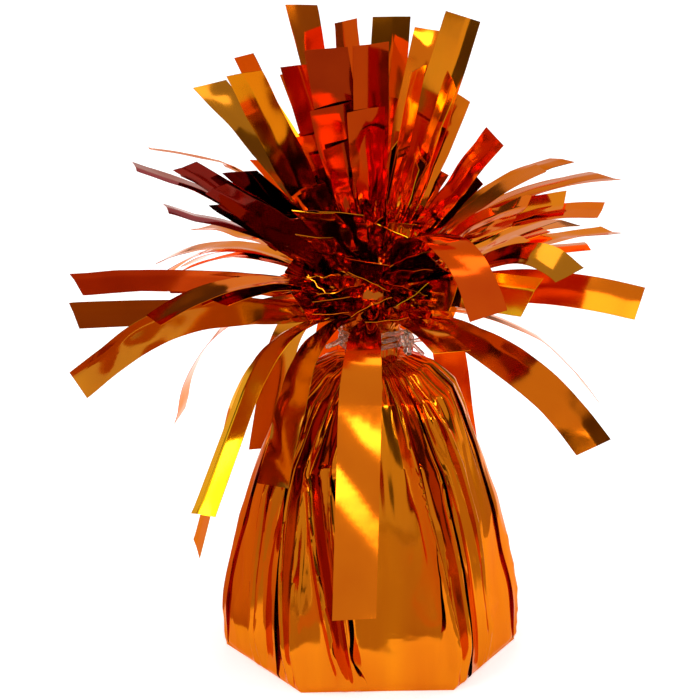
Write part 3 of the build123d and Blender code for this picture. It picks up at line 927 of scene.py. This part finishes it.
def strip_sheet(stations, rng):
    """Points of a strip's film, row by row from a tuck inside the bunch out to its tip."""
    middles = eased([centre for centre, _ in stations], 4)
    halves = eased([half for _, half in stations], 2)
    first = middles[1] - middles[0]
    first /= np.linalg.norm(first)
    tucks = [middles[0] - first * ROOT_TUCK * 2, middles[0] - first * ROOT_TUCK]
    middles = np.vstack([tucks, middles])
    halves = np.vstack([halves[:1], halves[:1], halves])
    run = np.gradient(middles, axis=0)
    run /= np.linalg.norm(run, axis=1)[:, None]
    across = halves / np.linalg.norm(halves, axis=1)[:, None]
    face = np.cross(run, across)
    u = np.linspace(-1, 1, STRIP_ACROSS)
    length = np.concatenate([[0], np.cumsum(np.linalg.norm(np.diff(middles, axis=0), axis=1))])
    share = length / length[-1]
    halves = halves * (1 + BULGE * np.sin(pi * np.clip(length / BULGE_LENGTH, 0, 1)))[:, None]
    opened = smoothstep(OPEN_FROM, OPEN_AT, length)
    folds = rng.integers(2, 4)
    zigzag = 2 * np.abs(((u * folds / 2 + rng.uniform(0, 1)) % 1) - 0.5) - 0.5
    lift = np.outer(rng.uniform(1.0, 1.7) * MM * (1 - opened), zigzag)
    spine = rng.uniform(-0.5, 0.5)
    lift += np.outer(rng.uniform(-0.5, 0.5) * MM * opened, 1 - np.abs(u - spine))
    for _ in range(STRIP_CREASES):
        spot = rng.uniform(0.25, 0.95)
        slant = rng.uniform(-0.1, 0.1)
        width = rng.uniform(0.08, 0.22)
        height = rng.uniform(-0.4, 0.4) * MM
        lift += height * np.clip(1 - np.abs(share[:, None] - spot - slant * u[None, :]) / width, 0, 1)
    cut = rng.uniform(-0.9, 0.9) * MM
    slide = np.outer(cut * smoothstep(0.8, 1.0, share), u)
    points = middles[:, None, :] + halves[:, None, :] * u[None, :, None]
    points = points + face[:, None, :] * lift[:, :, None] + run[:, None, :] * slide[:, :, None]
    return points


def leaned(stations, turn, climb, keep):
    """A shorter strip beside another: turned about the axis, tipped at its root and cut."""
    kept = stations[: max(FEWEST_STATIONS, int(len(stations) * keep))]
    root = kept[0][0]
    sideways = np.array((-root[1], root[0], 0.0))
    tip = np.array(Matrix.Rotation(radians(-climb), 3, Vector(sideways)))
    swing = np.array(Matrix.Rotation(radians(turn), 3, "Z"))
    return [(swing @ (root + tip @ (centre - root)), swing @ (tip @ half)) for centre, half in kept]


def film_solid(grid, thickness):
    """Close a grid of points into a thin solid, half of its film on each side."""
    rows, columns = grid.shape[:2]
    down = np.gradient(grid, axis=0)
    over = np.gradient(grid, axis=1)
    normal = np.cross(down, over)
    normal /= np.linalg.norm(normal, axis=2)[:, :, None] + 1e-12
    front = (grid + normal * thickness / 2).reshape(-1, 3)
    back = (grid - normal * thickness / 2).reshape(-1, 3)
    count = rows * columns
    quads = grid_faces(rows, columns, False)
    faces = [tuple(reversed(quad)) for quad in quads]
    faces += [tuple(index + count for index in quad) for quad in quads]
    rim = list(range(columns))
    rim += [row * columns + columns - 1 for row in range(1, rows)]
    rim += [(rows - 1) * columns + column for column in range(columns - 2, -1, -1)]
    rim += [row * columns for row in range(rows - 2, 0, -1)]
    for here, after in zip(rim, rim[1:] + rim[:1]):
        faces.append((here, after, after + count, here + count))
    return np.vstack([front, back]), faces


def root_spots(sheet):
    """Points of a film near its root, which a torn end keeps away from."""
    return sheet[5:30:2, ::4].reshape(-1, 3)


def strip_piece(name, sheet, finish, body, slot, replaced=()):
    """Close a sheet of strip film and add it to the part."""
    add_piece(name, *film_solid(sheet, STRIP_FILM), finish, body, slot, replaced, FILM_CREASE)


# One fringe material for each painted shade of reflection and shade
painted_strip_films = {}
painted_shade_of_strip = {}
for shade, (tint, gold, coat, edge, names) in PAINTED_STRIP_SHADES.items():
    painted_strip_films[shade] = film_material("fringe_" + shade, tint, gold, patch=90, crinkle=160, bump=0.03,
                                       coat=coat, edge=edge)
    painted_shade_of_strip.update((name, shade) for name in names)

fringe_spots = []
for number, name in enumerate(sorted(name for name in nodes if "_strip_" in name)):
    strip_rng = np.random.default_rng(FRINGE_SEED + number)
    body = body_of_node[name]
    shade = painted_shade_of_strip.get(name, "orange")
    stations = strip_stations(nodes[name])
    sheet = strip_sheet(stations, strip_rng)
    fringe_spots.append(root_spots(sheet))
    strip_piece(name + "_film", sheet, painted_strip_films[shade], body, "fringe_foil", [name])
    layers = THICK_LAYERS if name in THICK_STRIPS else LAYERS
    if name.startswith("lower") or name in LONE_STRIPS:
        layers = 0
    spread = CROWN_SPREAD if name.startswith("crown") else SPREAD
    leaves = list(SIDE_LEAVES.get(name, ()))
    for second in range(len(leaves), layers):
        turn = spread * strip_rng.uniform(4, 10) * (1 if second % 2 else -1)
        share = strip_rng.uniform(0.35, 0.75) + (0.2 if layers == THICK_LAYERS else 0)
        climb = spread * strip_rng.uniform(-7, 7)
        leaves.append((turn, climb, share))
    for second, leaf in enumerate(leaves, start=1):
        sheet = strip_sheet(leaned(stations, *leaf), strip_rng)
        fringe_spots.append(root_spots(sheet))
        mixed = strip_rng.integers(0, 4) == 0 and shade not in WHOLE_PAINTED_SHADES
        finish = painted_strip_films["orange" if mixed else shade]
        strip_piece(f"{name}_beside_{second}", sheet, finish, body, "fringe_foil")

# Torn ends
# Short torn ends of the same sheets fill the bunch between the roots of the strips. They stay with
# the bunch, each where the strips leave it the most room.
LEAVES = 56
LEAF_TRIES = 20
LEAF_STEPS = 15
LEAF_SEED = 77
LEAF_LEVELS = (8.5, 22)
LEAF_SINK = 0.6
# share of a whole turn from one end to the next, and how far each may stray from its place
LEAF_TURN = 0.618
LEAF_STRAY = 25
# heights above the neck, and how steeply an end rises there
RISE_LEVELS = (6, 13, 19, 22)
RISES = (4, 18, 48, 72)
# half width at the root, how far it widens, and how soon
LEAF_ROOT = 0.9
LEAF_WIDENS = 2.6
LEAF_OPENS = 1.6
# painted reflection and shade: one of these shades is picked at random for each torn end
LEAF_PAINTED_SHADES = ("ruby", "red", "orange", "orange", "gold")


def torn_end(azimuth, level, rng):
    """Middle and half width of a torn end at even steps from its root."""
    rise = np.interp(level, RISE_LEVELS, RISES) + rng.uniform(-14, 14)
    radius = float(np.interp(level, *zip(*BUNCH))) - LEAF_SINK
    length = rng.uniform(6, 11)
    bend = rng.uniform(-30, 25)
    roll = radians(rng.uniform(-40, 40))
    place = around(azimuth, radius, NECK + level) * MM
    along = around(azimuth + 90, 1, 0)
    stations = []
    for step in range(LEAF_STEPS + 1):
        t = step / LEAF_STEPS
        climb = radians(rise + bend * t)
        ahead = around(azimuth, cos(climb), sin(climb))
        edge = along * cos(roll) + np.cross(ahead, along) * sin(roll)
        stations.append((place, edge * (LEAF_ROOT + LEAF_WIDENS * min(1, t * LEAF_OPENS)) * MM))
        place = place + ahead * (length / LEAF_STEPS * MM)
    return stations


leaf_rng = np.random.default_rng(LEAF_SEED)
for number in range(LEAVES):
    taken = np.vstack(fringe_spots)
    most_room = 0
    for _ in range(LEAF_TRIES):
        azimuth = 360 * (number * LEAF_TURN % 1) + leaf_rng.uniform(-LEAF_STRAY, LEAF_STRAY)
        tried = torn_end(azimuth, leaf_rng.uniform(*LEAF_LEVELS), leaf_rng)
        spots = np.array([centre + half * side for centre, half in tried[5::2] for side in (-0.7, 0, 0.7)])
        room = np.linalg.norm(taken[:, None, :] - spots[None, :, :], axis=2).min(0).mean()
        if room > most_room:
            most_room = room
            stations = tried
            leaf_spots = spots
    fringe_spots.append(leaf_spots)
    sheet = strip_sheet(stations, leaf_rng)
    finish = painted_strip_films[LEAF_PAINTED_SHADES[leaf_rng.integers(0, len(LEAF_PAINTED_SHADES))]]
    strip_piece(f"root_leaf_{number + 1:02d}", sheet, finish, "weight", "gather_foil")
